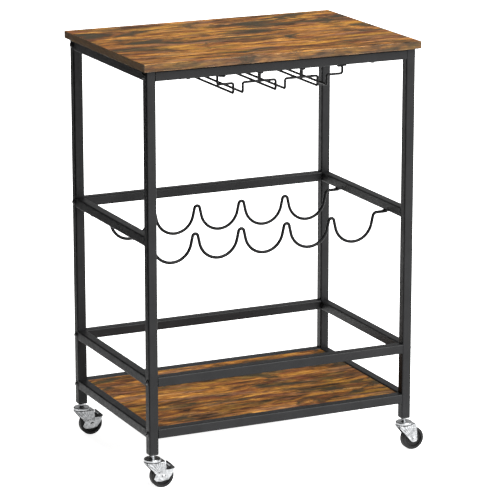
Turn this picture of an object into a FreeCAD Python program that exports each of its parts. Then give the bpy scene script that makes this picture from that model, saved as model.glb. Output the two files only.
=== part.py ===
import FreeCAD, Part
import Sketcher
import math
import os

from FreeCAD import Placement, Rotation, Vector

# A bar cart on four swivel casters: a square-tube frame with a top board, a shelf board,
# a wine rack of two scalloped wires and a stemware rack under the top.
# The sub-parts are drawn about the middle of the frame, on the floor, with +X to the right, the
# front at -Y and +Z up, and are written with the origin in the middle of the cart's overall
# length. All sizes are in millimetres.

DIMENSIONS = {
    # boards
    "board_length": 600,
    "board_width": 415,
    "board_thickness": 15,
    "board_rounding": 1,
    "shelf_thickness": 12,
    "shelf_gap": 0.5,
    "shelf_drop": 2,
    "cart_height": 858,
    # frame
    "frame_length": 584.4,
    "frame_width": 395,
    "tube_size": 20,
    "tube_wall": 1.5,
    "tube_corner": 3,
    "cap_flange": 1.5,
    "cap_depth": 5,
    "foot_height": 69.5,
    "foot_flange": 4,
    "foot_rounding": 2.7,
    "socket_depth": 26,
    "plug_gap": 0.1,
    "mid_level": 514,
    "guard_level": 229.8,
    "shelf_level": 123,
    # bolts that hold the long rails between the legs
    "bolt_radius": 3,
    "bolt_hole_radius": 3.2,
    "bolt_head_radius": 5.5,
    "bolt_head_height": 3.2,
    "bolt_rim_height": 0.8,
    "bolt_shoulder_radius": 4.7,
    "bolt_shoulder_height": 2.2,
    "bolt_crown_radius": 3,
    "bolt_hex": 4,
    "bolt_socket_depth": 1.9,
    "insert_length": 14,
    "insert_end_wall": 1,
    # screws
    "screw_radius": 2,
    "screw_hole_radius": 2.1,
    "screw_head_radius": 4.8,
    "screw_head_height": 2.6,
    "screw_rim_height": 0.9,
    "screw_shoulder_radius": 3.9,
    "screw_shoulder_height": 2.2,
    "screw_crown_radius": 2.4,
    "screw_tip_radius": 0.6,
    "screw_point_length": 2.5,
    "recess_arm": 2.15,
    "recess_half_width": 0.5,
    "recess_depth": 1.3,
    "board_screw_spacing": 400,
    "board_screw_length": 31,
    "short_screw_length": 9,
    # tabs under the shelf board
    "tab_length": 24,
    "tab_width": 18,
    "tab_thickness": 2,
    "tab_hole": 10.8,
    "tab_rounding": 4.8,
    "shelf_tab_spacing": 300,
    # wine rack
    "wine_wire_radius": 3.25,
    "wine_rack_spacing": 216,
    "cradle_pitch": 101,
    "cradle_count": 5,
    "cradle_radius": 42,
    "cradle_peak_radius": 6,
    "cradle_trough_level": 434.5,
    "cradle_peak_level": 488.5,
    "wine_bend_radius": 9,
    "wine_wire_inset": 4.2,
    "wire_tab_length": 14,
    "wire_tab_width": 12,
    "wire_tab_hole": 9.8,
    "wire_tab_rounding": 2,
    "screw_head_gap": 0.4,
    # stemware rack
    "glass_wire_radius": 2.5,
    "glass_rack_depth": 363,
    "glass_slot_pitch": 91.5,
    "glass_slot_width": 20.5,
    "glass_rack_length": 272,
    "glass_hook_level": 782,
    "glass_run_level": 802,
    "glass_bend_radius": 4,
    "glass_wire_lap": 1,
    "strap_width": 7,
    "strap_flange": 13,
    "strap_bend": 1.6,
    # casters
    "caster_trail": 19,
    "wheel_radius": 24,
    "wheel_width": 16,
    "wheel_rounding": 2.5,
    "wheel_rim_radius": 17,
    "wheel_rim_taper": 1,
    "wheel_web": 9,
    "wheel_hub_radius": 6.5,
    "wheel_hub_width": 16.6,
    "axle_radius": 3,
    "axle_clearance": 0.05,
    "axle_head_radius": 4.6,
    "axle_head_height": 1.8,
    "axle_rim_height": 0.7,
    "axle_crown_radius": 2.8,
    "stem_radius": 4,
    "stem_stop": 2,
    "stem_nut_radius": 6.5,
    "stem_nut_height": 1,
    "race_radius": 17.5,
    "race_top": 62,
    "race_thickness": 1.8,
    "race_rim": 5,
    "race_rounding": 1.5,
    "king_pin_radius": 3.5,
    "king_pin_head_radius": 6.5,
    "king_pin_head_height": 2.2,
    "king_pin_taper": 1,
    "king_pin_gap": 0.2,
    "crown_top": 55.2,
    "fork_sheet": 2,
    "fork_width": 24,
    "fork_back": 24,
    "fork_front": 14,
    "fork_tip": 6.2,
    "fork_tip_shift": 0.8,
    "fork_tip_rounding": 5.6,
    "fork_lip": 3,
    "fork_bend": 1.8,
    "ball_radius": 2.38,
    "ball_pitch_radius": 12,
    "ball_count": 12,
    # brakes
    "brake_sheet": 1.2,
    "brake_width": 19.4,
    "brake_gap": 2.2,
    "brake_pivot_x": 12,
    "brake_pivot_z": 32,
    "brake_pivot_radius": 2,
    "brake_pivot_head_radius": 3.3,
    "brake_pivot_crown_radius": 2.6,
    "brake_pivot_head_height": 0.9,
    "brake_slot_x": 19.55,
    "brake_slot_z": 24.5,
    "brake_slot_radius": 5,
    "pedal_half_length": 6.5,
    "pedal_cap_thickness": 2,
    "pedal_cap_width": 22,
    "pedal_ribs": 5,
    "pedal_groove_height": 1.3,
    "pedal_skirt_depth": 7,
    "pedal_skirt_x": 1.8,
}

# Corners of a brake lever's cheek seen from the front, below and above the pedal.
CHEEK_LOWER = (("-1", "20.5"), ("4", "15.5"), ("15", "14"), ("30", "16.5"), ("38", "26"))
CHEEK_UPPER = (("35.5", "37"), ("21", "37"), ("7", "37"))
# Corners of the space between the cheeks, away from the pedal.
CHEEK_SPACE = (("60", "0"), ("-20", "0"), ("-20", "60"), ("20", "60"))

# Starting sizes of a sketched square, before its dimensions are solved.
ROUGH_HALF = 10.0
ROUGH_INNER = 9.0

# Slack in comparing lengths when edges are picked out.
SLACK = 0.01

doc = FreeCAD.newDocument("bar_cart")
sheet = doc.addObject("Spreadsheet::Sheet", "Dimensions")
for row, (alias, number) in enumerate(DIMENSIONS.items(), start=1):
    sheet.set(f"A{row}", alias)
    sheet.set(f"B{row}", str(number))
    sheet.setAlias(f"B{row}", alias)
doc.recompute()

D = "Dimensions."
LEG_X = f"({D}frame_length - {D}tube_size) / 2"
LEG_Y = f"({D}frame_width - {D}tube_size) / 2"
SIDES = (("left", -1), ("right", 1))
ENDS = (("front", -1), ("back", 1))

nodes = []


def size(alias):
    """The value of a cell of the sheet."""
    return float(sheet.get(alias))


def signed(sign, expression):
    """The expression times a sign, as an expression."""
    return f"{sign} * ({expression})"


def keep(part):
    """Lists a finished sub-part as a node to be written."""
    nodes.append(part)
    return part


def leg_reach():
    """Distances of the leg axes from the frame's middle along X and along Y."""
    tube_size = size("tube_size")
    return (size("frame_length") - tube_size) / 2, (size("frame_width") - tube_size) / 2


def top_rail_level():
    """Height of the upper faces of the top rails."""
    return size("cart_height") - size("board_thickness") - size("cap_flange")


def top_rail_underside():
    return top_rail_level() - size("tube_size")


def overall_middle():
    """X of the middle of the cart's overall length, measured from the frame's middle.

    The top board reaches furthest to the left, the trailing wheels furthest to the right.
    """
    right = leg_reach()[0] + size("caster_trail") + size("wheel_radius")
    return (right - size("board_length") / 2) / 2


# --- Sketches and bodies -------------------------------------------------------------------

def new_body(label):
    body = doc.addObject("PartDesign::Body", label)
    body.Label = label
    return body


def new_sketch(body, name, role):
    """An empty sketch on one of the body's own origin planes."""
    sketch = body.newObject("Sketcher::SketchObject", name)
    plane = next(o for o in body.Origin.OriginFeatures if o.Role == role)
    sketch.AttachmentSupport = [(plane, "")]
    sketch.MapMode = "FlatFace"
    return sketch


def bind(sketch, constraint, expression):
    """Adds a dimension to a sketch and binds it to an expression."""
    index = sketch.addConstraint(constraint)
    sketch.setExpression(f"Constraints[{index}]", expression)


def place_point(sketch, line, end, x, y):
    """Fixes a line's end at two expressions, measured from the sketch's origin."""
    for kind, axis, expression in (("DistanceX", -2, x), ("DistanceY", -1, y)):
        if expression == "0":
            sketch.addConstraint(Sketcher.Constraint("PointOnObject", line, end, axis))
        else:
            bind(sketch, Sketcher.Constraint(kind, -1, 1, line, end, 1.0), expression)


def draw_polygon(sketch, corners):
    """A closed outline through corners given as pairs of expressions."""
    count = len(corners)
    first = sketch.GeometryCount
    turn = 2 * math.pi / count
    rough = [Vector(math.cos(i * turn), math.sin(i * turn), 0) for i in range(count)]
    for i in range(count):
        sketch.addGeometry(Part.LineSegment(rough[i], rough[(i + 1) % count]), False)
    for i, (x, y) in enumerate(corners):
        following = first + (i + 1) % count
        sketch.addConstraint(Sketcher.Constraint("Coincident", first + i, 2, following, 1))
        place_point(sketch, first + i, 1, x, y)


def draw_rounded_square(sketch, half, radius):
    """A square with rounded corners about the sketch's origin."""
    corners = ((1, -1), (1, 1), (-1, 1), (-1, -1))
    first = sketch.GeometryCount
    rough_radius = ROUGH_HALF - ROUGH_INNER
    for i, (sx, sy) in enumerate(corners):
        nx, ny = corners[(i + 1) % 4]
        across_x = ROUGH_HALF if sx == nx else ROUGH_INNER
        across_y = ROUGH_HALF if sy == ny else ROUGH_INNER
        start = Vector(across_x * sx, across_y * sy, 0)
        stop = Vector(across_x * nx, across_y * ny, 0)
        centre = Vector(ROUGH_INNER * nx, ROUGH_INNER * ny, 0)
        sketch.addGeometry(Part.LineSegment(start, stop), False)
        begin = math.atan2(stop.y - centre.y, stop.x - centre.x)
        circle = Part.Circle(centre, Vector(0, 0, 1), rough_radius)
        sketch.addGeometry(Part.ArcOfCircle(circle, begin, begin + math.pi / 2), False)
    for i in range(4):
        line, arc = first + 2 * i, first + 2 * i + 1
        following = first + (2 * i + 2) % 8
        sketch.addConstraint(Sketcher.Constraint("Tangent", line, 2, arc, 1))
        sketch.addConstraint(Sketcher.Constraint("Tangent", arc, 2, following, 1))
        bind(sketch, Sketcher.Constraint("Radius", arc, rough_radius), radius)
    for side in (0, 4):
        sketch.addConstraint(Sketcher.Constraint("Vertical", first + side))
        sketch.addConstraint(Sketcher.Constraint("Horizontal", first + side + 2))
    bind(sketch, Sketcher.Constraint("DistanceX", -1, 1, first, 1, ROUGH_HALF), half)
    bind(sketch, Sketcher.Constraint("DistanceY", -1, 1, first + 2, 1, ROUGH_HALF), half)
    bind(sketch, Sketcher.Constraint("DistanceX", first + 4, 1, -1, 1, ROUGH_HALF), half)
    bind(sketch, Sketcher.Constraint("DistanceY", first + 6, 1, -1, 1, ROUGH_HALF), half)


def draw_circles(sketch, centres, radius):
    """Circles of one radius at centres given as pairs of expressions."""
    for x, y in centres:
        circle = sketch.addGeometry(Part.Circle(Vector(1, 1, 0), Vector(0, 0, 1), 1), False)
        place_point(sketch, circle, 3, x, y)
        bind(sketch, Sketcher.Constraint("Radius", circle, 1.0), radius)


def pad(body, sketch, length, symmetric=False):
    feature = body.newObject("PartDesign::Pad", sketch.Name + "_pad")
    feature.Profile = sketch
    feature.setExpression("Length", length)
    if symmetric:
        feature.SideType = "Symmetric"
    doc.recompute()
    return feature


def cut(body, sketch, side, length=None):
    """A pocket that must take material away. side is both, forward or backward."""
    before = body.Shape.Volume
    feature = body.newObject("PartDesign::Pocket", sketch.Name + "_cut")
    feature.Profile = sketch
    if length is None:
        feature.Type = "ThroughAll"
    else:
        feature.setExpression("Length", length)
    if side == "both":
        feature.SideType = "Symmetric"
    feature.Reversed = side == "backward"
    doc.recompute()
    if body.Shape.Volume > before - SLACK:
        raise RuntimeError(f"{feature.Name} cuts nothing")
    return feature


def round_edges(body, radius, chosen):
    """Rounds the edges of the body's tip for which chosen(edge) is true."""
    base = body.Tip
    names = [f"Edge{i}" for i, edge in enumerate(base.Shape.Edges, start=1) if chosen(edge)]
    if not names:
        raise RuntimeError(f"{body.Label} has no such edges")
    feature = body.newObject("PartDesign::Fillet", body.Name + "_rounding")
    feature.Base = (base, names)
    feature.setExpression("Radius", radius)
    doc.recompute()
    return feature


def put(part, x="0", y="0", z="0", rotation=Rotation()):
    """Places a sub-part, with its position bound to expressions."""
    part.Placement = Placement(Vector(), rotation)
    for axis, expression in (("x", x), ("y", y), ("z", z)):
        if expression != "0":
            part.setExpression(f".Placement.Base.{axis}", expression)


def revolved(label, corners):
    """A body turned about Z from an outline of (radius, height) expressions."""
    body = new_body(label)
    sketch = new_sketch(body, label + "_outline", "XZ_Plane")
    draw_polygon(sketch, corners)
    feature = body.newObject("PartDesign::Revolution", label + "_turn")
    feature.Profile = sketch
    feature.ReferenceAxis = (sketch, ["V_Axis"])
    feature.Angle = 360
    doc.recompute()
    return body


def solid_feature(label, shape):
    """A sub-part whose shape is made directly."""
    part = doc.addObject("Part::Feature", label)
    part.Label = label
    part.Shape = shape
    return part


def group(label, pattern, placements):
    """One node of identical separate solids: the pattern's shape at each placement."""
    copies = []
    for placement in placements:
        copy = pattern.Shape.copy()
        copy.Placement = placement.multiply(copy.Placement)
        copies.append(copy)
    return keep(solid_feature(label, Part.makeCompound(copies)))


# --- Square tubes ---------------------------------------------------------------------------

ALONG_X = Rotation(Vector(0, 1, 0), 90)
ALONG_Y = Rotation(Vector(1, 0, 0), -90)
DOWN = Rotation(Vector(1, 0, 0), 180)


def tube(label, length):
    """A hollow square tube with rounded corners, standing on the XY plane."""
    body = new_body(label)
    section = new_sketch(body, label + "_section", "XY_Plane")
    draw_rounded_square(section, f"{D}tube_size / 2", f"{D}tube_corner")
    inner = f"{D}tube_size / 2 - {D}tube_wall"
    draw_rounded_square(section, inner, f"{D}tube_corner - {D}tube_wall")
    pad(body, section, length)
    return body


def drill(body, role, stations, radius, side):
    """Round holes across a tube at stations along it."""
    sketch = new_sketch(body, f"{body.Name}_{radius.split('.')[-1]}_{side}", role)
    draw_circles(sketch, [("0", station) for station in stations], radius)
    cut(body, sketch, side)


def rail_centre(level):
    return f"{level} - {D}tube_size / 2"


TOP_LEVEL = f"({D}cart_height - {D}board_thickness - {D}cap_flange)"
LEG_BASE = f"({D}foot_height + {D}foot_flange)"
LEVELS = {
    "top": TOP_LEVEL,
    "mid": f"{D}mid_level",
    "guard": f"{D}guard_level",
    "shelf": f"{D}shelf_level",
}
LONG_RAILS = [
    ("top", "front"), ("top", "back"), ("mid", "back"), ("guard", "front"),
    ("guard", "back"), ("shelf", "front"), ("shelf", "back"),
]


def make_legs():
    for end, y_sign in ENDS:
        levels = [level for level, at in LONG_RAILS if at == end]
        stations = [f"{rail_centre(LEVELS[level])} - {LEG_BASE}" for level in levels]
        for side, x_sign in SIDES:
            leg = tube(f"leg_{end}_{side}", f"{TOP_LEVEL} - {LEG_BASE}")
            drill(leg, "YZ_Plane", stations, f"{D}bolt_hole_radius", "both")
            put(leg, signed(x_sign, LEG_X), signed(y_sign, LEG_Y), LEG_BASE)
            keep(leg)


def make_side_rails():
    length = f"({D}frame_width - 2 * {D}tube_size)"
    for level, height in LEVELS.items():
        for side, x_sign in SIDES:
            rail = tube(f"{level}_rail_{side}", length)
            if level == "top":
                drill(rail, "XZ_Plane", [f"{length} / 2"], f"{D}screw_hole_radius", "both")
            if level == "mid":
                spacing = f"{D}wine_rack_spacing / 2"
                stations = [f"{length} / 2 + {signed(s, spacing)}" for s in (-1, 1)]
                drill(rail, "XZ_Plane", stations, f"{D}screw_hole_radius", "forward")
            start = signed(-1, f"{length} / 2")
            put(rail, signed(x_sign, LEG_X), start, rail_centre(height), ALONG_Y)
            keep(rail)


def glass_screw_offset():
    """Distance of the outer stemware screws from the middle of the cart."""
    return f"({D}glass_rack_length / 2 - {D}wire_tab_hole)"


def make_long_rails():
    length = f"({D}frame_length - 2 * {D}tube_size)"
    for level, end in LONG_RAILS:
        y_sign = dict(ENDS)[end]
        rail = tube(f"{level}_rail_{end}", length)
        if level == "top":
            spacing = f"{D}board_screw_spacing / 2"
            board_screws = [f"{length} / 2 + {signed(s, spacing)}" for s in (-1, 1)]
            drill(rail, "YZ_Plane", board_screws, f"{D}screw_hole_radius", "both")
            offsets = (glass_screw_offset(), f"{D}glass_slot_pitch / 2")
            rack = [f"{length} / 2 + {signed(s, offset)}" for offset in offsets for s in (-1, 1)]
            drill(rail, "YZ_Plane", rack, f"{D}screw_hole_radius", "backward")
        start = signed(-1, f"{length} / 2")
        put(rail, start, signed(y_sign, LEG_Y), rail_centre(LEVELS[level]), ALONG_X)
        keep(rail)


def make_frame_bolts():
    """Button-head bolts through the legs, and the threaded inserts that they hold."""
    end = f"-({D}tube_size + {D}insert_length - {D}insert_end_wall)"
    bolt = revolved("frame_bolt_pattern", [
        ("0", end),
        (f"{D}bolt_radius", end),
        (f"{D}bolt_radius", "0"),
        (f"{D}bolt_head_radius", "0"),
        (f"{D}bolt_head_radius", f"{D}bolt_rim_height"),
        (f"{D}bolt_shoulder_radius", f"{D}bolt_shoulder_height"),
        (f"{D}bolt_crown_radius", f"{D}bolt_head_height"),
        ("0", f"{D}bolt_head_height"),
    ])
    socket = new_sketch(bolt, "frame_bolt_socket", "XY_Plane")
    socket.AttachmentOffset = Placement(Vector(0, 0, size("bolt_head_height")), Rotation())
    across = f"{D}bolt_hex / 2 / cos(30 deg)"
    draw_polygon(socket, [
        (f"{across} * cos({60 * i} deg)", f"{across} * sin({60 * i} deg)" if i % 3 else "0")
        for i in range(6)
    ])
    cut(bolt, socket, "forward", f"{D}bolt_socket_depth")

    insert = new_body("rail_end_insert_pattern")
    section = new_sketch(insert, "insert_section", "XY_Plane")
    inner = f"{D}tube_size / 2 - {D}tube_wall"
    draw_rounded_square(section, inner, f"{D}tube_corner - {D}tube_wall")
    draw_circles(section, [("0", "0")], f"{D}bolt_radius")
    pad(insert, section, f"{D}insert_length")

    bolts, inserts = [], []
    outer = size("frame_length") / 2
    for level, end in LONG_RAILS:
        y = dict(ENDS)[end] * leg_reach()[1]
        height = top_rail_level() if level == "top" else size(f"{level}_level")
        z = height - size("tube_size") / 2
        for _side, x_sign in SIDES:
            outward = Rotation(Vector(0, 1, 0), 90 * x_sign)
            bolts.append(Placement(Vector(x_sign * outer, y, z), outward))
            inner_end = outer - size("tube_size") - size("insert_length")
            inserts.append(Placement(Vector(x_sign * inner_end, y, z), outward))
    group("frame_bolts", bolt, bolts)
    group("rail_end_inserts", insert, inserts)


# --- Plugs of the tube ends -------------------------------------------------------------------

def leg_points(z):
    """Placements on the four leg axes at one height."""
    reach_x, reach_y = leg_reach()
    return [
        Placement(Vector(sx * reach_x, sy * reach_y, z), Rotation())
        for _end, sy in ENDS for _side, sx in SIDES
    ]


def plug(label, flange, depth, bore=None):
    """A plastic plug with its flange below the XY plane and its shank above it."""
    body = new_body(label)
    cover = new_sketch(body, label + "_flange", "XY_Plane")
    draw_rounded_square(cover, f"{D}tube_size / 2", f"{D}tube_corner")
    feature = pad(body, cover, flange)
    feature.Reversed = True
    doc.recompute()
    shank = new_sketch(body, label + "_shank", "XY_Plane")
    half = f"{D}tube_size / 2 - {D}tube_wall - {D}plug_gap"
    draw_rounded_square(shank, half, f"{D}tube_corner - {D}tube_wall")
    pad(body, shank, depth)
    if bore:
        hole = new_sketch(body, label + "_bore", "XY_Plane")
        draw_circles(hole, [("0", "0")], bore)
        cut(body, hole, "both")
    return body


def make_plugs():
    cap = plug("leg_top_cap_pattern", f"{D}cap_flange", f"{D}cap_depth")
    upside_down = [p.multiply(Placement(Vector(), DOWN)) for p in leg_points(top_rail_level())]
    group("leg_top_caps", cap, upside_down)

    socket = plug("caster_socket_pattern", f"{D}foot_flange", f"{D}socket_depth",
                  f"{D}stem_radius")
    lowest, bore = -size("foot_flange"), size("stem_radius")

    def on_lower_rim(edge):
        box = edge.BoundBox
        outermost = max(box.XMax, box.YMax, -box.XMin, -box.YMin)
        return box.ZMax < lowest + SLACK and outermost > bore + SLACK

    round_edges(socket, f"{D}foot_rounding", on_lower_rim)
    group("caster_sockets", socket, leg_points(size("foot_height") + size("foot_flange")))


# --- Boards -----------------------------------------------------------------------------------

def board(label, length, width, thickness, holes, hole_depth):
    """A flat board on the XY plane with pilot holes in its underside."""
    body = new_body(label)
    outline = new_sketch(body, label + "_outline", "XY_Plane")
    draw_polygon(outline, [
        (signed(sx, f"{length} / 2"), signed(sy, f"{width} / 2"))
        for sx, sy in ((-1, -1), (1, -1), (1, 1), (-1, 1))
    ])
    pad(body, outline, thickness)
    round_edges(body, f"{D}board_rounding", lambda edge: True)
    pilot = new_sketch(body, label + "_pilot_holes", "XY_Plane")
    draw_circles(pilot, holes, f"{D}screw_radius")
    cut(body, pilot, "backward", hole_depth)
    return body


def top_screw_points():
    """Pairs of expressions for the screws that hold the top board."""
    long_rails = [
        (signed(sx, f"{D}board_screw_spacing / 2"), signed(sy, LEG_Y))
        for sx in (-1, 1) for sy in (-1, 1)
    ]
    return long_rails + [(signed(sx, LEG_X), "0") for sx in (-1, 1)]


def shelf_screw_offsets():
    """Distances of the shelf board's screws from its middle along X and along Y."""
    along_x = f"{D}frame_length / 2 - {D}tube_size - {D}tab_hole"
    along_y = f"{D}frame_width / 2 - {D}tube_size - {D}tab_hole"
    return along_x, along_y


def make_boards():
    depth = f"{D}board_screw_length - {D}tube_size - {D}cap_flange"
    top = board("top_board", f"{D}board_length", f"{D}board_width", f"{D}board_thickness",
                top_screw_points(), depth)
    put(top, z=f"{D}cart_height - {D}board_thickness")
    keep(top)

    along_x, along_y = shelf_screw_offsets()
    holes = [
        (signed(sx, f"{D}shelf_tab_spacing / 2"), signed(sy, along_y))
        for sx in (-1, 1) for sy in (-1, 1)
    ]
    holes += [(signed(sx, along_x), "0") for sx in (-1, 1)]
    shelf = board("shelf_board", f"({D}frame_length - 2 * {D}tube_size - 2 * {D}shelf_gap)",
                  f"({D}frame_width - 2 * {D}tube_size - 2 * {D}shelf_gap)",
                  f"{D}shelf_thickness", holes, f"{D}short_screw_length - {D}tab_thickness")
    put(shelf, z=f"{D}shelf_level - {D}shelf_drop - {D}shelf_thickness")
    keep(shelf)


def screw_pattern(label, length):
    """A pan-head screw with a cross recess: its shank points up from its seat on the XY plane."""
    body = revolved(label, [
        ("0", length),
        (f"{D}screw_tip_radius", length),
        (f"{D}screw_radius", f"{length} - {D}screw_point_length"),
        (f"{D}screw_radius", "0"),
        (f"{D}screw_head_radius", "0"),
        (f"{D}screw_head_radius", f"-{D}screw_rim_height"),
        (f"{D}screw_shoulder_radius", f"-{D}screw_shoulder_height"),
        (f"{D}screw_crown_radius", f"-{D}screw_head_height"),
        ("0", f"-{D}screw_head_height"),
    ])
    arm, half = f"{D}recess_arm", f"{D}recess_half_width"
    for number, (x, y) in enumerate(((arm, half), (half, arm))):
        recess = new_sketch(body, f"{label}_recess_{number}", "XY_Plane")
        recess.AttachmentOffset = Placement(Vector(0, 0, -size("screw_head_height")), Rotation())
        draw_polygon(recess, [
            (signed(sx, x), signed(sy, y)) for sx, sy in ((-1, -1), (1, -1), (1, 1), (-1, 1))
        ])
        cut(body, recess, "backward", f"{D}recess_depth")
    return body


def make_board_fixings():
    long_screw = screw_pattern("board_screw_pattern", f"{D}board_screw_length")
    short_screw = screw_pattern("short_screw_pattern", f"{D}short_screw_length")
    leg_x, leg_y = leg_reach()
    spacing = size("board_screw_spacing") / 2
    points = [(sx * spacing, sy * leg_y) for sx in (-1, 1) for sy in (-1, 1)]
    points += [(sx * leg_x, 0) for sx in (-1, 1)]
    group("top_board_screws", long_screw,
          [Placement(Vector(x, y, top_rail_underside()), Rotation()) for x, y in points])

    # Flat tabs welded to the inner faces of the shelf rails, under the board.
    tab = new_body("shelf_tab_pattern")
    outline = new_sketch(tab, "shelf_tab_outline", "XY_Plane")
    half, width = f"{D}tab_length / 2", f"{D}tab_width"
    left = signed(-1, half)
    draw_polygon(outline, [(left, "0"), (half, "0"), (half, width), (left, width)])
    draw_circles(outline, [("0", f"{D}tab_hole")], f"{D}screw_hole_radius")
    pad(tab, outline, f"{D}tab_thickness")
    corner = size("tab_width")
    round_edges(tab, f"{D}tab_rounding", lambda edge: (
        edge.BoundBox.ZLength > SLACK and edge.BoundBox.XLength < SLACK
        and edge.BoundBox.YMin > corner - SLACK))

    under_board = (size("shelf_level") - size("shelf_drop") - size("shelf_thickness")
                   - size("tab_thickness"))
    inner_x = size("frame_length") / 2 - size("tube_size")
    inner_y = size("frame_width") / 2 - size("tube_size")
    reach = size("shelf_tab_spacing") / 2
    roots = [(sx * reach, sy * inner_y, 90 - 90 * -sy) for sx in (-1, 1) for sy in (-1, 1)]
    roots += [(sx * inner_x, 0, 90 * sx) for sx in (-1, 1)]
    tabs = [
        Placement(Vector(x, y, under_board), Rotation(Vector(0, 0, 1), turn))
        for x, y, turn in roots
    ]
    to_hole = Placement(Vector(0, size("tab_hole"), 0), Rotation())
    screws = [place.multiply(to_hole) for place in tabs]
    group("shelf_tabs", tab, tabs)
    group("shelf_screws", short_screw, screws)
    return short_screw


# --- Wire racks ---------------------------------------------------------------------------------

def sweep_wire(path, radius):
    """A round wire along a smooth path of straight and round stretches."""
    start = path.Edges[0].Vertexes[0].Point
    direction = path.Edges[0].tangentAt(path.Edges[0].FirstParameter)
    section = Part.Wire(Part.makeCircle(radius, start, direction))
    return path.makePipeShell([section], True, True)


def rounded_path(points, radius):
    """Straight runs between points, with an arc of one radius at each corner between them."""
    edges = []
    start = points[0]
    for before, corner, after in zip(points, points[1:], points[2:]):
        towards = (before - corner).normalize()
        away = (after - corner).normalize()
        half_angle = towards.getAngle(away) / 2
        cut_back = radius / math.tan(half_angle)
        bisector = (towards + away).normalize()
        centre = corner + bisector * (radius / math.sin(half_angle))
        first, last = corner + towards * cut_back, corner + away * cut_back
        middle = centre - bisector * radius
        edges.append(Part.LineSegment(start, first).toShape())
        edges.append(Part.Arc(first, middle, last).toShape())
        start = last
    edges.append(Part.LineSegment(start, points[-1]).toShape())
    return Part.Wire(edges)


def wire_tab(x, y, z, length, width, towards):
    """A flattened wire end: a rounded plate with a screw hole, and its screw position.

    x, y is where the wire meets the plate, z the plate's upper face.
    """
    thickness = size("tab_thickness")
    low_x = x - thickness if towards > 0 else x + thickness - length
    plate = Part.makeBox(length, width, thickness, Vector(low_x, y - width / 2, z - thickness))
    upright = [e for e in plate.Edges if e.BoundBox.ZLength > thickness / 2]
    plate = plate.makeFillet(size("wire_tab_rounding"), upright)
    screw_x = x + towards * size("wire_tab_hole")
    hole = Part.makeCylinder(size("screw_hole_radius"), 3 * thickness,
                             Vector(screw_x, y, z - 2 * thickness))
    return plate.cut(hole), Vector(screw_x, y, z - thickness)


def scallop_points():
    """Centre and tangent points of one cradle, measured from its middle.

    The bottom arc and the peak arcs turn opposite ways, so the straight side between them is
    their inner tangent.
    """
    bottom, peak = size("cradle_radius"), size("cradle_peak_radius")
    low = Vector(0, 0, size("cradle_trough_level") + bottom)
    high = Vector(size("cradle_pitch") / 2, 0, size("cradle_peak_level") - peak)
    between = high - low
    lean = math.atan2(between.z, between.x) - math.acos((bottom + peak) / between.Length)
    outward = Vector(math.cos(lean), 0, math.sin(lean))
    return low, high, low + outward * bottom, high - outward * peak


def scalloped_path():
    """The whole wire in the XZ plane: cradles side by side, with straight ends under the rails."""
    low, high, side_low, side_high = scallop_points()
    pitch, count = size("cradle_pitch"), int(size("cradle_count"))
    bend = size("wine_bend_radius")
    bottom = Vector(0, 0, size("cradle_trough_level"))
    peak = Vector(pitch / 2, 0, size("cradle_peak_level"))
    end_level = size("mid_level") - size("tube_size") - size("wine_wire_radius")
    end_x = leg_reach()[0] - size("wine_wire_inset")

    def mirrored(point, middle):
        return Vector(2 * middle - point.x, 0, point.z)

    edges = []
    for cradle in range(count):
        x = (cradle - (count - 1) / 2) * pitch
        shift = Vector(x, 0, 0)
        right_low, right_high = side_low + shift, side_high + shift
        left_low, left_high = mirrored(right_low, x), mirrored(right_high, x)
        if cradle > 0:
            edges.append(Part.LineSegment(left_high, left_low).toShape())
        edges.append(Part.Arc(left_low, bottom + shift, right_low).toShape())
        if cradle < count - 1:
            following = mirrored(right_high, x + pitch / 2)
            edges.append(Part.LineSegment(right_low, right_high).toShape())
            edges.append(Part.Arc(right_high, peak + shift, following).toShape())

    def end_run(sign):
        """The last side goes on up, bends outwards and runs level under the rail."""
        foot = side_low + Vector((count - 1) / 2 * pitch, 0, 0)
        slope = (side_high - side_low).normalize()
        corner = foot + slope * ((end_level - foot.z) / slope.z)
        points = [foot, corner, Vector(end_x, 0, end_level)]
        path = rounded_path(points, bend)
        if sign > 0:
            return path.Edges
        turned = path.mirror(Vector(), Vector(1, 0, 0))
        return turned.Edges

    return Part.Wire(Part.__sortEdges__(end_run(-1) + edges + end_run(1)))


def make_wine_rack(short_screw):
    path = scalloped_path()
    wire = sweep_wire(path, size("wine_wire_radius"))
    level = size("mid_level") - size("tube_size")
    length, width, far = size("wire_tab_length"), size("wire_tab_width"), size("tube_size")
    root = leg_reach()[0] - size("wire_tab_hole")
    seats = []
    for sign in (-1, 1):
        plate, seat = wire_tab(sign * root, 0, level, length, width, sign)
        head_space = Part.makeCylinder(size("screw_head_radius") + size("screw_head_gap"), far,
                                       seat - Vector(0, 0, far))
        shank_space = Part.makeCylinder(size("screw_hole_radius"), 2 * far, seat - Vector(0, 0, far))
        wire = wire.cut(head_space).fuse(plate).cut(shank_space)
        seats.append(seat)
    screws = []
    for end, y_sign in ENDS:
        y = y_sign * size("wine_rack_spacing") / 2
        rack = solid_feature(f"wine_rack_wire_{end}", wire.removeSplitter())
        put(rack, y=signed(y_sign, f"{D}wine_rack_spacing / 2"))
        keep(rack)
        screws += [Placement(seat + Vector(0, y, 0), Rotation()) for seat in seats]
    group("wine_rack_screws", short_screw, screws)


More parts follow.
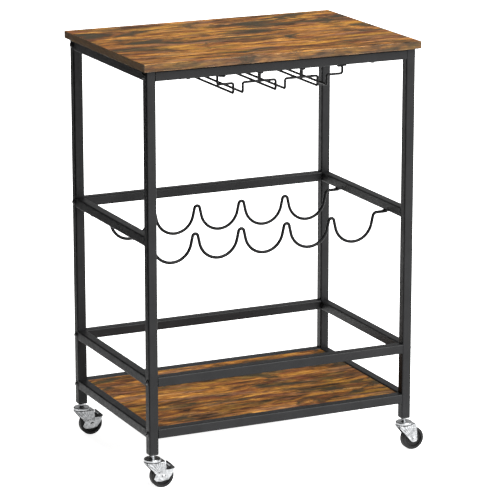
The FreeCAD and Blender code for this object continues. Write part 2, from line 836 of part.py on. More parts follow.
def glass_wire_end(side, depth_sign):
    """Half of an outer stemware wire: from the middle of its long run to its screwed tab."""
    x_sign = dict(SIDES)[side]
    slot = size("glass_slot_pitch") + size("glass_slot_width") / 2
    outer = size("glass_rack_length") / 2
    y = depth_sign * size("glass_rack_depth") / 2
    low, high = size("glass_hook_level"), size("glass_run_level")
    top = top_rail_underside()
    points = [
        Vector(x_sign * slot, 0, low), Vector(x_sign * slot, y, low), Vector(x_sign * slot, y, high),
        Vector(x_sign * outer, y, high), Vector(x_sign * outer, y, top - size("glass_wire_lap")),
    ]
    wire = sweep_wire(rounded_path(points, size("glass_bend_radius")), size("glass_wire_radius"))
    plate, seat = wire_tab(x_sign * outer, depth_sign * leg_reach()[1], top,
                           size("wire_tab_length"), size("tube_size"), -x_sign)
    return wire.fuse(plate), seat


def glass_loop_half(x_sign, depth_sign):
    """Half of a loop between two slots, from the middle of one long run to the other."""
    inner = size("glass_slot_width") / 2
    outer = size("glass_slot_pitch") - inner
    y = depth_sign * size("glass_rack_depth") / 2
    low, high = size("glass_hook_level"), size("glass_run_level")
    inner_points = [Vector(x_sign * inner, 0, low), Vector(x_sign * inner, y, low),
                    Vector(x_sign * inner, y, high)]
    outer_points = [Vector(x_sign * outer, y, high), Vector(x_sign * outer, y, low),
                    Vector(x_sign * outer, 0, low)]
    points = inner_points + outer_points
    return sweep_wire(rounded_path(points, size("glass_bend_radius")), size("glass_wire_radius"))


def glass_strap():
    """A bent strap from the rail's underside down to the loop, saddled over its wire.

    Its screw hole is at the origin and its upper face on the XY plane, the wire towards +Y.
    """
    thickness, width = size("tab_thickness"), size("strap_width")
    wire_y = leg_reach()[1] - size("glass_rack_depth") / 2
    drop = top_rail_underside() - size("glass_run_level")
    flange = Part.makeBox(width, size("strap_flange"), thickness,
                          Vector(-width / 2, wire_y + thickness / 2 - size("strap_flange"), -thickness))
    leg = Part.makeBox(width, thickness, drop, Vector(-width / 2, wire_y - thickness / 2, -drop))
    strap = flange.fuse(leg).removeSplitter()
    bend = [
        edge for edge in strap.Edges
        if edge.BoundBox.XLength > width - SLACK and edge.BoundBox.ZMin > -SLACK
        and edge.BoundBox.YMin > wire_y + thickness / 2 - SLACK
    ]
    strap = strap.makeFillet(size("strap_bend"), bend)
    wire = Part.makeCylinder(size("glass_wire_radius"), 2 * width,
                             Vector(-width, wire_y, -drop), Vector(1, 0, 0))
    hole = Part.makeCylinder(size("screw_hole_radius"), 4 * thickness,
                             Vector(0, 0, -3 * thickness))
    return strap.cut(wire).cut(hole)


def make_glass_rack(short_screw):
    seats = []
    for side, x_sign in SIDES:
        halves = [glass_wire_end(side, depth_sign) for _end, depth_sign in ENDS]
        whole = halves[0][0].fuse(halves[1][0]).removeSplitter()
        keep(solid_feature(f"glass_rack_wire_{side}", whole))
        seats += [seat for _shape, seat in halves]
        loop = glass_loop_half(x_sign, -1).fuse(glass_loop_half(x_sign, 1)).removeSplitter()
        keep(solid_feature(f"glass_rack_loop_{side}", loop))

    strap = solid_feature("glass_strap_pattern", glass_strap())
    reach_x, reach_y = size("glass_slot_pitch") / 2, leg_reach()[1]
    places = []
    for _side, x_sign in SIDES:
        for _end, y_sign in ENDS:
            turn = Rotation(Vector(0, 0, 1), 0 if y_sign < 0 else 180)
            seat = Vector(x_sign * reach_x, y_sign * reach_y, top_rail_underside())
            places.append(Placement(seat, turn))
    group("glass_rack_straps", strap, places)
    seats += [place.Base - Vector(0, 0, size("tab_thickness")) for place in places]
    group("glass_rack_screws", short_screw, [Placement(seat, Rotation()) for seat in seats])


# --- Casters -------------------------------------------------------------------------------------
# Each caster is drawn about its swivel axis on the floor, with its wheel trailing towards +X.

def make_caster_stem(place):
    """Threaded stem, upper race with its turned-down rim, and the riveted king pin."""
    race, inner_race = f"{D}race_radius", f"{D}race_radius - {D}race_thickness"
    stem_end = f"{D}foot_height + {D}foot_flange + {D}socket_depth - {D}stem_stop"
    nut_top = f"{D}race_top + {D}stem_nut_height"
    under = f"{D}race_top - {D}race_thickness"
    rim_end = f"{D}race_top - {D}race_rim"
    pin_low = f"{D}crown_top - {D}fork_sheet - {D}king_pin_gap"
    pin_end = f"{pin_low} - {D}king_pin_head_height"
    return revolved(f"caster_stem_{place}", [
        ("0", stem_end),
        (f"{D}stem_radius", stem_end),
        (f"{D}stem_radius", nut_top),
        (f"{D}stem_nut_radius", nut_top),
        (f"{D}stem_nut_radius", f"{D}race_top"),
        (f"{race} - {D}race_rounding", f"{D}race_top"),
        (race, f"{D}race_top - {D}race_rounding"),
        (race, rim_end),
        (inner_race, rim_end),
        (inner_race, under),
        (f"{D}king_pin_radius", under),
        (f"{D}king_pin_radius", pin_low),
        (f"{D}king_pin_head_radius", pin_low),
        (f"{D}king_pin_head_radius - {D}king_pin_taper", pin_end),
        ("0", pin_end),
    ])


def make_caster_fork(place, braked):
    """Pressed steel fork: a channel with tapered legs under a round crown."""
    label = f"caster_fork_{place}"
    fork = new_body(label)
    crown_low = f"({D}crown_top - {D}fork_sheet)"
    tip = f"({D}wheel_radius - {D}fork_tip)"
    side = new_sketch(fork, label + "_side", "XZ_Plane")
    draw_polygon(side, [
        (f"-{D}fork_front", f"{crown_low} - {D}fork_lip"),
        (f"-{D}fork_front", f"{D}crown_top"),
        (f"{D}fork_back", f"{D}crown_top"),
        (f"{D}caster_trail + {D}fork_tip_shift + {D}fork_tip", tip),
        (f"{D}caster_trail + {D}fork_tip_shift - {D}fork_tip", tip),
    ])
    pad(fork, side, f"{D}fork_width", symmetric=True)
    channel = new_sketch(fork, label + "_channel", "YZ_Plane")
    half = f"({D}fork_width / 2 - {D}fork_sheet)"
    left = signed(-1, half)
    draw_polygon(channel, [(left, "0"), (half, "0"), (half, crown_low), (left, crown_low)])
    cut(fork, channel, "both")
    tip_height = size("wheel_radius") - size("fork_tip")
    round_edges(fork, f"{D}fork_tip_rounding", lambda edge: (
        edge.BoundBox.YLength > SLACK and edge.BoundBox.XLength < SLACK
        and abs(edge.BoundBox.ZMax - tip_height) < SLACK))
    crown_top, half_width = size("crown_top"), size("fork_width") / 2
    round_edges(fork, f"{D}fork_bend", lambda edge: (
        edge.BoundBox.XLength > half_width and edge.BoundBox.ZLength < SLACK
        and abs(edge.BoundBox.ZMax - crown_top) < SLACK
        and abs(abs(edge.BoundBox.YMax) - half_width) < SLACK))
    disc = new_sketch(fork, label + "_crown", "XY_Plane")
    disc.AttachmentOffset = Placement(Vector(0, 0, crown_top - size("fork_sheet")), Rotation())
    disc.setExpression(".AttachmentOffset.Base.z", crown_low)
    draw_circles(disc, [("0", "0")], f"{D}race_radius")
    pad(fork, disc, f"{D}fork_sheet")
    pin_hole = new_sketch(fork, label + "_pin_hole", "XY_Plane")
    draw_circles(pin_hole, [("0", "0")], f"{D}king_pin_radius + {D}axle_clearance")
    cut(fork, pin_hole, "both")
    holes = new_sketch(fork, label + "_axle_holes", "XZ_Plane")
    draw_circles(holes, [(f"{D}caster_trail", f"{D}wheel_radius")], f"{D}axle_radius")
    if braked:
        draw_circles(holes, [(f"{D}brake_pivot_x", f"{D}brake_pivot_z")], f"{D}brake_pivot_radius")
    cut(fork, holes, "both")
    return fork


def make_caster_axle(place):
    """Riveted axle with a domed head at each end, turned about its own middle."""
    half = f"{D}fork_width / 2"
    upper = [
        (f"{D}axle_radius", f"({half})"),
        (f"{D}axle_head_radius", f"({half})"),
        (f"{D}axle_head_radius", f"({half} + {D}axle_rim_height)"),
        (f"{D}axle_crown_radius", f"({half} + {D}axle_head_height)"),
        ("0", f"({half} + {D}axle_head_height)"),
    ]
    lower = [(radius, "-" + height) for radius, height in reversed(upper)]
    return revolved(f"caster_axle_{place}", lower + upper)


def make_caster_wheel(place):
    """Plastic wheel with a rim, a recessed web and a hub, turned about its own axis."""
    face, web, hub = f"{D}wheel_width / 2", f"{D}wheel_web / 2", f"{D}wheel_hub_width / 2"
    upper = [
        (f"{D}wheel_radius", face),
        (f"{D}wheel_rim_radius + {D}wheel_rim_taper", face),
        (f"{D}wheel_rim_radius", web),
        (f"{D}wheel_hub_radius", web),
        (f"{D}wheel_hub_radius", hub),
        (f"{D}axle_radius + {D}axle_clearance", hub),
    ]
    lower = [(radius, "-" + height) for radius, height in reversed(upper)]
    wheel = revolved(f"caster_wheel_{place}", lower + upper)
    tread = size("wheel_radius")
    round_edges(wheel, f"{D}wheel_rounding", lambda edge: (
        abs(edge.BoundBox.XMax - tread) < SLACK and edge.BoundBox.ZLength < SLACK))
    return wheel


PEDAL_LIFT = f"({D}wheel_radius + {D}brake_gap + {D}brake_sheet) * cos(45 deg)"


def pedal_ends(inset):
    """Lower and upper end of the pedal, which lies at 45 degrees over the tread.

    The ends are on the pedal's outer face, or inset below it.
    """
    middle_x = f"{D}caster_trail + {PEDAL_LIFT} - {inset} * cos(45 deg)"
    middle_z = f"{D}wheel_radius + {PEDAL_LIFT} - {inset} * cos(45 deg)"
    reach = f"{D}pedal_half_length * cos(45 deg)"
    return [
        (f"{middle_x} + {reach}", f"{middle_z} - {reach}"),
        (f"{middle_x} - {reach}", f"{middle_z} + {reach}"),
    ]


def make_brake_lever(place):
    """Pressed brake lever: two cheeks inside the fork, joined by the pedal over the tread."""
    label = f"brake_lever_{place}"
    lever = new_body(label)
    outer_low, outer_high = pedal_ends("0")
    inner_low, inner_high = pedal_ends(f"{D}brake_sheet")
    cheek = new_sketch(lever, label + "_cheek", "XZ_Plane")
    draw_polygon(cheek, [*CHEEK_LOWER, outer_low, outer_high, inner_high, *CHEEK_UPPER])
    pad(lever, cheek, f"{D}brake_width", symmetric=True)
    inside = new_sketch(lever, label + "_inside", "XZ_Plane")
    draw_polygon(inside, [inner_high, inner_low, *CHEEK_SPACE])
    cut(lever, inside, "both", f"{D}brake_width - 2 * {D}brake_sheet")
    holes = new_sketch(lever, label + "_axle_hole", "XZ_Plane")
    draw_circles(holes, [(f"{D}brake_slot_x", f"{D}brake_slot_z")], f"{D}brake_slot_radius")
    draw_circles(holes, [(f"{D}brake_pivot_x", f"{D}brake_pivot_z")],
                 f"{D}brake_pivot_radius + {D}axle_clearance")
    cut(lever, holes, "both")
    return lever


def make_pedal_cap(place):
    """Ribbed plastic cap on the pedal, with a pointed skirt over each cheek.

    It is drawn flat, with the underside of its plate on the XY plane.
    """
    label = f"brake_pedal_cap_{place}"
    cap = new_body(label)
    side = new_sketch(cap, label + "_side", "XZ_Plane")
    half, top, groove = (f"{D}pedal_half_length", f"{D}pedal_cap_thickness",
                         f"{D}pedal_groove_height")
    stripes = 2 * int(size("pedal_ribs")) - 1
    corners = [(signed(-1, half), "0")]
    for stripe in range(stripes):
        height = groove if stripe % 2 else top
        corners += [
            (f"({2 * edge} / {stripes} - 1) * {half}", height) for edge in (stripe, stripe + 1)
        ]
    point = (f"{D}pedal_skirt_x", f"-{D}pedal_skirt_depth")
    corners += [(half, "0"), point]
    draw_polygon(side, corners)
    pad(cap, side, f"{D}pedal_cap_width", symmetric=True)
    inside = new_sketch(cap, label + "_inside", "XZ_Plane")
    low = f"-{D}pedal_skirt_depth"
    draw_polygon(inside, [(signed(-1, half), "0"), (signed(-1, half), low), (half, low), (half, "0")])
    cut(cap, inside, "both", f"{D}brake_width")
    return cap


def make_brake_pivots(place, origin):
    """Two stub rivets that hold the lever's cheeks to the fork."""
    shank_end = f"-(({D}fork_width - {D}brake_width) / 2 + {D}brake_sheet)"
    rivet = revolved(f"brake_pivot_pattern_{place}", [
        ("0", shank_end),
        (f"{D}brake_pivot_radius", shank_end),
        (f"{D}brake_pivot_radius", "0"),
        (f"{D}brake_pivot_head_radius", "0"),
        (f"{D}brake_pivot_crown_radius", f"{D}brake_pivot_head_height"),
        ("0", f"{D}brake_pivot_head_height"),
    ])
    places = []
    for sign in (-1, 1):
        seat = origin + Vector(size("brake_pivot_x"), sign * size("fork_width") / 2,
                               size("brake_pivot_z"))
        places.append(Placement(seat, Rotation(Vector(1, 0, 0), -90 * sign)))
    group(f"brake_pivots_{place}", rivet, places)


def ball_ring(centre):
    """The balls of one swivel bearing."""
    count, pitch = int(size("ball_count")), size("ball_pitch_radius")
    balls = []
    for i in range(count):
        angle = 2 * math.pi * i / count
        offset = Vector(math.cos(angle), math.sin(angle), 0) * pitch
        balls.append(Part.makeSphere(size("ball_radius"), centre + offset))
    return balls


def make_casters():
    reach_x, reach_y = leg_reach()
    ball_level = (size("crown_top") + size("race_top") - size("race_thickness")) / 2
    balls = []
    for end, y_sign in ENDS:
        for side, x_sign in SIDES:
            place = f"{end}_{side}"
            braked = side == "left"
            x, y = signed(x_sign, LEG_X), signed(y_sign, LEG_Y)
            axle_x = f"{x} + {D}caster_trail"
            for part in (make_caster_stem(place), make_caster_fork(place, braked)):
                put(part, x, y)
                keep(part)
            for part in (make_caster_axle(place), make_caster_wheel(place)):
                put(part, axle_x, y, f"{D}wheel_radius", ALONG_Y)
                keep(part)
            origin = Vector(x_sign * reach_x, y_sign * reach_y, 0)
            if braked:
                lever = make_brake_lever(place)
                put(lever, x, y)
                keep(lever)
                cap = make_pedal_cap(place)
                put(cap, f"{axle_x} + {PEDAL_LIFT}", y, f"{D}wheel_radius + {PEDAL_LIFT}",
                    Rotation(Vector(0, 1, 0), 45))
                keep(cap)
                make_brake_pivots(place, origin)
            balls += ball_ring(origin + Vector(0, 0, ball_level))
    keep(solid_feature("caster_balls", Part.makeCompound(balls)))


make_legs()
make_side_rails()
make_long_rails()
make_frame_bolts()
make_plugs()
make_boards()
SHORT_SCREW = make_board_fixings()
make_wine_rack(SHORT_SCREW)
make_glass_rack(SHORT_SCREW)
make_casters()
doc.recompute()

for item in doc.Objects:
    if "Invalid" in item.State or "Error" in item.State:
        raise RuntimeError(f"{item.Label} failed: {item.State}")
for node in nodes:
    if node.Shape.isNull() or not node.Shape.isValid() or not node.Shape.Solids:
        raise RuntimeError(f"{node.Label} has no valid solid")

os.makedirs("parts", exist_ok=True)
for node in nodes:
    shape = node.Shape.copy()
    shape.translate(Vector(-overall_middle(), 0, 0))
    shape.exportStep(os.path.join("parts", node.Label + ".step"))
print(len(nodes), "nodes written")
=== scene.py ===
"""Looks for the bar cart: surface materials, floor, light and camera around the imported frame."""

import math

import bpy
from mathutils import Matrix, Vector


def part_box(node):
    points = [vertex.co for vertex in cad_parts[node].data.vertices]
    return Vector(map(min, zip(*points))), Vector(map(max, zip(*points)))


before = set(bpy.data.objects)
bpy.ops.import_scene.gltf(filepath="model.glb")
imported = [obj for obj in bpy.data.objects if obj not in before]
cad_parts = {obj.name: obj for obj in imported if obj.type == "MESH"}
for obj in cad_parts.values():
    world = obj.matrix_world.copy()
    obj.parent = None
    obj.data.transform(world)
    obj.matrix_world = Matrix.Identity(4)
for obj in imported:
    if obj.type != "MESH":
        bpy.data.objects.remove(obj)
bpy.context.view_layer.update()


# --- node helpers -------------------------------------------------------------------------------

def add(tree, kind, sockets=None, **settings):
    """Adds a shader node. A socket value that is itself a socket is linked, any other is set."""
    node = tree.nodes.new("ShaderNode" + kind)
    for name, value in settings.items():
        setattr(node, name, value)
    for name, value in (sockets or {}).items():
        if isinstance(value, bpy.types.NodeSocket):
            tree.links.new(value, node.inputs[name])
        else:
            node.inputs[name].default_value = value
    return node


def rgba(colour):
    return (*colour, 1.0)


def new_material(name):
    """A material with only its Principled shader and output, as (material, tree, shader)."""
    material = bpy.data.materials.new(name)
    material.use_nodes = True
    tree = material.node_tree
    tree.nodes.clear()
    shader = add(tree, "BsdfPrincipled")
    output = add(tree, "OutputMaterial")
    tree.links.new(shader.outputs["BSDF"], output.inputs["Surface"])
    return material, tree, shader


def object_coords(tree, scale=(1.0, 1.0, 1.0)):
    """Object coordinates in metres, stretched by scale."""
    source = add(tree, "TexCoord")
    return mapped(tree, source.outputs["Object"], scale)


def mapped(tree, vector, scale, offset=(0.0, 0.0, 0.0)):
    node = add(tree, "Mapping", {"Vector": vector, "Scale": scale, "Location": offset})
    return node.outputs["Vector"]


def noise(tree, vector, scale=1.0, detail=4.0, roughness=0.55, distortion=0.0):
    node = add(tree, "TexNoise", {
        "Vector": vector, "Scale": scale, "Detail": detail,
        "Roughness": roughness, "Distortion": distortion,
    })
    return node.outputs["Fac"]


def spread(tree, value, low, high, to_low=0.0, to_high=1.0, curve="SMOOTHSTEP"):
    """Maps value from low..high to to_low..to_high, clamped."""
    node = add(tree, "MapRange", {
        "Value": value, "From Min": low, "From Max": high, "To Min": to_low, "To Max": to_high,
    }, interpolation_type=curve)
    return node.outputs["Result"]


def math_node(tree, operation, first, second=0.0):
    node = add(tree, "Math", operation=operation)
    for socket, value in zip(node.inputs, (first, second)):
        if isinstance(value, bpy.types.NodeSocket):
            tree.links.new(value, socket)
        else:
            socket.default_value = value
    return node.outputs["Value"]


def mix(tree, factor, first, second, mode="MIX"):
    """Colour mix. The colour sockets of the Mix node share their names, so they go by index."""
    node = add(tree, "Mix", data_type="RGBA", blend_type=mode)
    for index, value in ((0, factor), (6, first), (7, second)):
        if isinstance(value, bpy.types.NodeSocket):
            tree.links.new(value, node.inputs[index])
        else:
            node.inputs[index].default_value = value if index == 0 else rgba(value)
    return node.outputs[2]


def ramp(tree, factor, stops):
    """Colour ramp from (position, colour) pairs."""
    node = add(tree, "ValToRGB", {"Fac": factor})
    elements = node.color_ramp.elements
    while len(elements) < len(stops):
        elements.new(0.5)
    for element, (position, colour) in zip(elements, stops):
        element.position = position
        element.color = rgba(colour)
    return node.outputs["Color"]


def bump(tree, height, strength, distance, below=None):
    sockets = {"Height": height, "Strength": strength, "Distance": distance}
    if below is not None:
        sockets["Normal"] = below
    return add(tree, "Bump", sockets).outputs["Normal"]


def edge_mask(tree, radius, breakup):
    """1 on outer edges, broken up by noise, and 0 on flat faces."""
    rounded = add(tree, "Bevel", {"Radius": radius}, samples=4).outputs["Normal"]
    true_normal = add(tree, "NewGeometry").outputs["Normal"]
    cosine = add(tree, "VectorMath", operation="DOT_PRODUCT")
    tree.links.new(rounded, cosine.inputs[0])
    tree.links.new(true_normal, cosine.inputs[1])
    edge = spread(tree, cosine.outputs["Value"], 0.90, 0.995, 1.0, 0.0)
    return math_node(tree, "MULTIPLY", edge, spread(tree, breakup, 0.42, 0.62))


# --- surfaces -----------------------------------------------------------------------------------
# Colours are linear. Ranges are (low, high).

WORN_BARE_METAL = (0.95, 0.95, 0.95)
RIBS_PER_RADIAN = 42.0
RIB_START = (0.004, 0.010)
# Painted shade of the fork ribs: the colour factor between the ribs and on them.
RIB_PAINTED_SHADE = (1.10, 0.62)
RIB_HEIGHT = 0.0004
ZINC = {
    "low": (0.20, 0.205, 0.21), "high": (0.50, 0.51, 0.52), "rough": (0.20, 0.38),
    "streak": (60.0, 60.0, 900.0),
}


def coated(name, low, high, rough, cloud=18.0, grain=700.0, depth=0.00006, bump_strength=0.35,
           wear=(0.2, 0.2, 0.2), wear_share=0.3, wear_radius=0.0012, specular=0.5):
    """A painted or moulded surface: clouded colour, fine grain, uneven gloss and worn edges."""
    material, tree, shader = new_material(name)
    coords = object_coords(tree)
    broad = noise(tree, coords, cloud, 5.0, 0.6, 0.4)
    fine = noise(tree, coords, grain, 3.0, 0.6)
    blend = math_node(tree, "ADD", math_node(tree, "MULTIPLY", broad, 0.65),
                      math_node(tree, "MULTIPLY", fine, 0.35))
    colour = mix(tree, spread(tree, blend, 0.36, 0.64), low, high)
    scuffs = noise(tree, coords, cloud * 9.0, 4.0, 0.65, 0.8)
    worn = math_node(tree, "MULTIPLY", edge_mask(tree, wear_radius, scuffs), wear_share)
    colour = mix(tree, worn, colour, wear)
    tree.links.new(colour, shader.inputs["Base Color"])
    uneven = math_node(tree, "ADD", math_node(tree, "MULTIPLY", scuffs, 0.6),
                       math_node(tree, "MULTIPLY", fine, 0.4))
    tree.links.new(spread(tree, uneven, 0.3, 0.7, *rough), shader.inputs["Roughness"])
    relief = bump(tree, fine, bump_strength, depth)
    tree.links.new(bump(tree, scuffs, 0.12, 0.0002, relief), shader.inputs["Normal"])
    shader.inputs["Specular IOR Level"].default_value = specular
    return material


def pressed_ribs(tree, axle):
    """1 on the ribs pressed into a fork's legs, which fan out from its axle, and 0 between."""
    parts = add(tree, "SeparateXYZ", {"Vector": object_coords(tree)})
    across = math_node(tree, "SUBTRACT", parts.outputs["X"], axle.x)
    above = math_node(tree, "SUBTRACT", parts.outputs["Z"], axle.z)
    angle = math_node(tree, "ARCTAN2", across, above)
    wave = math_node(tree, "SINE", math_node(tree, "MULTIPLY", angle, RIBS_PER_RADIAN))
    started = spread(tree, above, *RIB_START)
    return math_node(tree, "MULTIPLY", spread(tree, wave, -0.3, 0.6), started)


def plated(name, low, high, rough, streak, wear_radius=0.0006, axle=None):
    """Bright metal: fine drawn lines along streak, cloudy plating and brighter worn edges.

    A fork, which has an axle, also has ribs, with painted shade along them.
    """
    material, tree, shader = new_material(name)
    coords = object_coords(tree)
    clouds = noise(tree, coords, 130.0, 4.0, 0.6, 0.6)
    lines = noise(tree, object_coords(tree, streak), 1.0, 3.0, 0.6)
    pits = noise(tree, coords, 2600.0, 2.0, 0.5)
    blend = math_node(tree, "ADD", math_node(tree, "MULTIPLY", clouds, 0.6),
                      math_node(tree, "MULTIPLY", lines, 0.4))
    colour = mix(tree, spread(tree, blend, 0.35, 0.65), low, high)
    worn = math_node(tree, "MULTIPLY", edge_mask(tree, wear_radius, clouds), 0.6)
    colour = mix(tree, worn, colour, WORN_BARE_METAL)
    relief = bump(tree, lines, 0.25, 0.00004)
    if axle:
        ribs = pressed_ribs(tree, axle)
        # Painted shade darkens the ribs, and the plate between them is painted a little lighter.
        shade = grey(tree, spread(tree, ribs, 0.0, 1.0, *RIB_PAINTED_SHADE))
        colour = mix(tree, 1.0, colour, shade, "MULTIPLY")
        relief = bump(tree, ribs, 0.6, RIB_HEIGHT, relief)
    tree.links.new(colour, shader.inputs["Base Color"])
    tree.links.new(spread(tree, blend, 0.3, 0.7, *rough), shader.inputs["Roughness"])
    tree.links.new(bump(tree, pits, 0.15, 0.00002, relief), shader.inputs["Normal"])
    shader.inputs["Metallic"].default_value = 1.0
    return material


def along_board(tree):
    """Coordinates whose X runs with the print, how level the face is, and whether it is an end.

    The print runs along the board, and along each end edge.
    """
    source = add(tree, "TexCoord")
    parts = add(tree, "SeparateXYZ", {"Vector": source.outputs["Object"]})
    facing = add(tree, "SeparateXYZ", {"Vector": source.outputs["Normal"]})
    on_end = math_node(tree, "GREATER_THAN", math_node(tree, "ABSOLUTE", facing.outputs["X"]), 0.7)
    swapped = add(tree, "CombineXYZ", {
        "X": parts.outputs["Y"], "Y": parts.outputs["X"], "Z": parts.outputs["Z"],
    })
    chosen = add(tree, "Mix", data_type="VECTOR")
    tree.links.new(on_end, chosen.inputs[0])
    tree.links.new(source.outputs["Object"], chosen.inputs[4])
    tree.links.new(swapped.outputs["Vector"], chosen.inputs[5])
    level = math_node(tree, "ABSOLUTE", facing.outputs["Z"])
    return chosen.outputs[1], level, on_end


# Position along the tone of the print, and its colour there.
WOOD_TONES = [
    (0.00, (0.030, 0.014, 0.005)),
    (0.25, (0.090, 0.036, 0.010)),
    (0.48, (0.225, 0.087, 0.017)),
    (0.72, (0.390, 0.151, 0.022)),
    (1.00, (0.600, 0.285, 0.055)),
]

# Drifts of other colours: stretch, offset, detail, range of the noise, share, colour.
WOOD_DRIFTS = [
    ((6.0, 26.0, 26.0), (7.3, 4.1, 0.9), 4.0, (0.50, 0.64), 0.60, (0.46, 0.225, 0.028)),
    ((8.0, 58.0, 58.0), (1.3, 9.6, 3.3), 4.0, (0.50, 0.63), 0.75, (0.150, 0.040, 0.016)),
    ((7.0, 40.0, 40.0), (5.7, 2.9, 8.3), 5.0, (0.52, 0.64), 0.40, (0.330, 0.175, 0.095)),
    ((10.0, 36.0, 36.0), (9.1, 6.3, 1.9), 5.0, (0.54, 0.66), 0.50, (0.115, 0.090, 0.028)),
]

KNOT_HEART = (0.030, 0.026, 0.012)
KNOT_RINGS = 95.0
EDGE_BANDING = (0.088, 0.068, 0.048)
# Painted light for the end edges.
END_PAINTED_LIGHT = (0.36, 0.24, 0.14)
# Painted highlight for the boards' outer edges.
EDGE_PAINTED_HIGHLIGHT = (0.50, 0.36, 0.22)
BACKING = ((0.030, 0.027, 0.024), (0.055, 0.050, 0.045))


def rustic_wood(name):
    """Printed rustic board: short broken streaks, amber and red drifts, charred knots."""
    material, tree, shader = new_material(name)
    coords, level, on_end = along_board(tree)

    def streaks(scale, offset=(0.0, 0.0, 0.0), detail=5.0, roughness=0.6, distortion=0.6):
        return noise(tree, mapped(tree, coords, scale, offset), 1.0, detail, roughness, distortion)

    bands = streaks((7.0, 36.0, 36.0), distortion=0.9)
    slivers = streaks((26.0, 190.0, 190.0), (2.7, 0.4, 1.3))
    fibres = streaks((42.0, 420.0, 420.0), (0.9, 5.1, 2.2), 4.0)
    patches = streaks((6.0, 15.0, 15.0), (3.1, 1.7, 0.4), 7.0, 0.66, 1.2)

    tone = math_node(tree, "ADD", math_node(tree, "MULTIPLY", bands, 0.60),
                     math_node(tree, "MULTIPLY", slivers, 0.40))
    colour = ramp(tree, spread(tree, tone, 0.40, 0.61, curve="LINEAR"), WOOD_TONES)
    for scale, offset, detail, (low, high), share, drift in WOOD_DRIFTS:
        amount = spread(tree, streaks(scale, offset, detail), low, high, 0.0, share)
        colour = mix(tree, amount, colour, drift)

    # Knots: a dark ragged heart, with grain lines closing round it.
    broken = math_node(tree, "ADD", patches, math_node(tree, "MULTIPLY", slivers, 0.16))
    heart = spread(tree, broken, 0.615, 0.68)
    rings = math_node(tree, "SINE", math_node(tree, "MULTIPLY", patches, KNOT_RINGS))
    near = spread(tree, broken, 0.54, 0.63)
    shade = spread(tree, math_node(tree, "MULTIPLY", rings, near), 0.0, 1.0, 1.0, 0.55)
    colour = mix(tree, 0.8, colour, grey(tree, shade), "MULTIPLY")
    colour = mix(tree, math_node(tree, "MULTIPLY", heart, 0.88), colour, KNOT_HEART)
    strands = grey(tree, spread(tree, fibres, 0.34, 0.66, 0.40, 1.38))
    colour = mix(tree, 0.85, colour, strands, "MULTIPLY")

    # The edge banding is greyer and darker than the faces. Painted shade darkens the long edges
    # further, and painted light makes the ends paler.
    banding = spread(tree, level, 0.4, 0.7, 0.52, 0.0)
    colour = mix(tree, banding, colour, EDGE_BANDING)
    # Painted shade on the long edges, mixed towards black.
    painted_shade_long_edges = spread(tree, math_node(tree, "ADD", level, on_end), 0.4, 0.7, 0.35, 0.0)
    colour = mix(tree, painted_shade_long_edges, colour, (0.0, 0.0, 0.0))
    # Painted light on the ends.
    painted_light_ends = math_node(tree, "MULTIPLY", on_end, 0.55)
    colour = mix(tree, painted_light_ends, colour, END_PAINTED_LIGHT)
    # Painted highlight: a pale line along the board's outer edges, broken up by the slivers.
    painted_edge_highlight = math_node(tree, "MULTIPLY", edge_mask(tree, 0.0018, slivers), 0.7)
    colour = mix(tree, painted_edge_highlight, colour, EDGE_PAINTED_HIGHLIGHT)

    # The underside has a plain dark backing.
    facing = add(tree, "SeparateXYZ", {"Vector": add(tree, "TexCoord").outputs["Normal"]})
    under = spread(tree, facing.outputs["Z"], -0.9, -0.6, 1.0, 0.0)
    backing = mix(tree, slivers, *BACKING)
    colour = mix(tree, under, colour, backing)
    tree.links.new(colour, shader.inputs["Base Color"])

    gloss = math_node(tree, "ADD", math_node(tree, "MULTIPLY", slivers, 0.5),
                      math_node(tree, "MULTIPLY", patches, 0.5))
    tree.links.new(spread(tree, gloss, 0.3, 0.7, 0.70, 0.50), shader.inputs["Roughness"])
    relief = bump(tree, slivers, 0.22, 0.0003)
    tree.links.new(bump(tree, fibres, 0.25, 0.00008, relief), shader.inputs["Normal"])
    shader.inputs["Specular IOR Level"].default_value = 0.1
    return material


def grey(tree, value):
    node = add(tree, "CombineColor")
    for socket in node.inputs:
        tree.links.new(value, socket)
    return node.outputs["Color"]


materials = {
    "wood_board": rustic_wood("cart_wood"),
    "black_powder_coat": coated(
        "cart_powder_coat", (0.0038, 0.0039, 0.0043), (0.0074, 0.0075, 0.0082), (0.40, 0.58),
        wear=(0.06, 0.06, 0.065), wear_share=0.4, wear_radius=0.0016, specular=0.22),
    "black_wire": coated(
        "cart_wire_coat", (0.0025, 0.0025, 0.0027), (0.0050, 0.0050, 0.0053), (0.30, 0.46),
        wear=(0.03, 0.03, 0.03), wear_share=0.2, wear_radius=0.0004, specular=0.12),
    "black_fastener": coated(
        "cart_black_oxide", (0.008, 0.008, 0.0085), (0.018, 0.018, 0.019), (0.24, 0.42),
        cloud=120.0, wear=(0.22, 0.22, 0.23), wear_share=0.5, wear_radius=0.0004, specular=0.6),
    "zinc_steel": plated("cart_zinc", **ZINC),
    "bright_steel": plated(
        "cart_bright_steel", (0.24, 0.245, 0.25), (0.46, 0.46, 0.47), (0.18, 0.34),
        (300.0, 300.0, 300.0)),
    "wheel_plastic": coated(
        "cart_wheel_rubber", (0.003, 0.003, 0.0032), (0.011, 0.011, 0.0114), (0.42, 0.68),
        cloud=70.0, grain=1100.0, wear=(0.10, 0.10, 0.10), wear_share=0.5, wear_radius=0.0008,
        specular=0.2),
    "black_plastic": coated(
        "cart_black_plastic", (0.005, 0.005, 0.0052), (0.012, 0.012, 0.0122), (0.36, 0.56),
        cloud=60.0, grain=1400.0, wear=(0.08, 0.08, 0.08), wear_share=0.3, wear_radius=0.0005,
        specular=0.25),
}

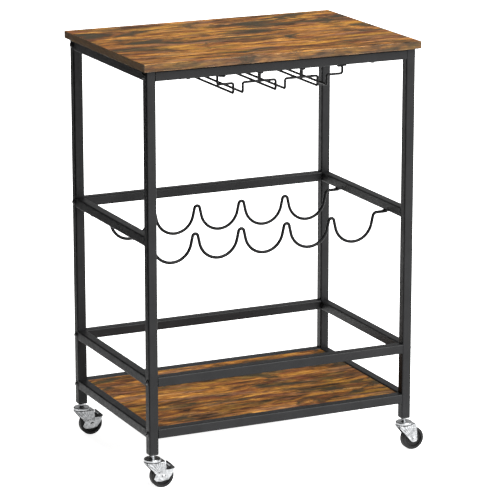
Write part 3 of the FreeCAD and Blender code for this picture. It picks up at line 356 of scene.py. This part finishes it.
for name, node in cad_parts.items():
    for slot in node.material_slots:
        wanted = materials[slot.material.name.split(".")[0]]
        if name.startswith("caster_fork_"):
            place = name.removeprefix("caster_fork_")
            low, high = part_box(f"caster_wheel_{place}")
            wanted = plated(f"cart_fork_{place}", **ZINC, axle=(Vector(low) + Vector(high)) / 2)
        slot.link = "OBJECT"
        slot.material = wanted


# --- floor, light and camera --------------------------------------------------------------------

FLOOR_GLOW = 0.90
FLAG_X = -0.62
FLAG_Y_RANGE = (-1.1, 1.8)
FLAG_TOP = 1.8
KEY_TOWARDS = (-0.30, 0.70, -0.65)
KEY_DEGREES = 50.0
KEY_STRENGTH = 5.6
WALLS_LIT = 0.55
WALLS_SEEN = 1.1
CAMERA_AT = (-2.4123, -5.1392, 1.8707)
CAMERA_DOWN = 14.41
CAMERA_TURN = -25.21
CAMERA_LENS = 205.7


def make_floor(half=20.0):
    mesh = bpy.data.meshes.new("floor")
    mesh.from_pydata([(-half, -half, 0), (half, -half, 0), (half, half, 0), (-half, half, 0)],
                     [], [(0, 1, 2, 3)])
    floor = bpy.data.objects.new("floor", mesh)
    bpy.context.scene.collection.objects.link(floor)
    material, tree, shader = new_material("studio_floor")
    tint = noise(tree, object_coords(tree), 1.5, 3.0, 0.5)
    tree.links.new(mix(tree, tint, (0.90, 0.90, 0.90), (0.94, 0.94, 0.94)),
                   shader.inputs["Base Color"])
    shader.inputs["Roughness"].default_value = 0.9
    shader.inputs["Specular IOR Level"].default_value = 0.1
    # The floor is a lit table, so shadows on it stay pale.
    shader.inputs["Emission Color"].default_value = rgba((1.0, 1.0, 1.0))
    shader.inputs["Emission Strength"].default_value = FLOOR_GLOW
    mesh.materials.append(material)


def soft_sun(name, towards, spread_angle, strength):
    """A very wide sun: the same soft light at every distance, so the floor stays even."""
    data = bpy.data.lights.new(name, "SUN")
    data.angle = math.radians(spread_angle)
    data.energy = strength
    lamp = bpy.data.objects.new(name, data)
    lamp.rotation_mode = "QUATERNION"
    lamp.rotation_quaternion = Vector(towards).to_track_quat("-Z", "Y")
    bpy.context.scene.collection.objects.link(lamp)


def dark_flag(x, y_range, top):
    """A black studio flag beside the object: it takes light away from that side, unseen."""
    mesh = bpy.data.meshes.new("flag")
    corners = [(x, y, z) for y, z in ((y_range[0], 0), (y_range[1], 0), (y_range[1], top),
                                      (y_range[0], top))]
    mesh.from_pydata(corners, [], [(0, 1, 2, 3)])
    flag = bpy.data.objects.new("flag", mesh)
    bpy.context.scene.collection.objects.link(flag)
    material, _tree, shader = new_material("studio_flag")
    shader.inputs["Base Color"].default_value = rgba((0.002, 0.002, 0.002))
    shader.inputs["Specular IOR Level"].default_value = 0.0
    mesh.materials.append(material)
    flag.visible_camera = False
    flag.visible_shadow = False


make_floor()
dark_flag(FLAG_X, FLAG_Y_RANGE, FLAG_TOP)
soft_sun("key", KEY_TOWARDS, KEY_DEGREES, KEY_STRENGTH)

world = bpy.data.worlds.new("studio")
world.use_nodes = True
backdrop = world.node_tree.nodes["Background"]
backdrop.inputs["Color"].default_value = (1.0, 1.0, 1.0, 1.0)
# The studio walls are seen white, but light the cart less than that.
seen = add(world.node_tree, "LightPath").outputs["Is Camera Ray"]
strength = spread(world.node_tree, seen, 0.0, 1.0, WALLS_LIT, WALLS_SEEN)
world.node_tree.links.new(strength, backdrop.inputs["Strength"])
bpy.context.scene.world = world

camera_data = bpy.data.cameras.new("camera")
camera_data.sensor_width = 36.0
camera_data.lens = CAMERA_LENS
camera_data.clip_end = 100.0
camera = bpy.data.objects.new("camera", camera_data)
camera.location = CAMERA_AT
camera.rotation_euler = (math.radians(90.0 - CAMERA_DOWN), 0.0, math.radians(CAMERA_TURN))
bpy.context.scene.collection.objects.link(camera)
bpy.context.scene.camera = camera

view = bpy.context.scene.view_settings
view.view_transform = "Standard"
view.look = "None"
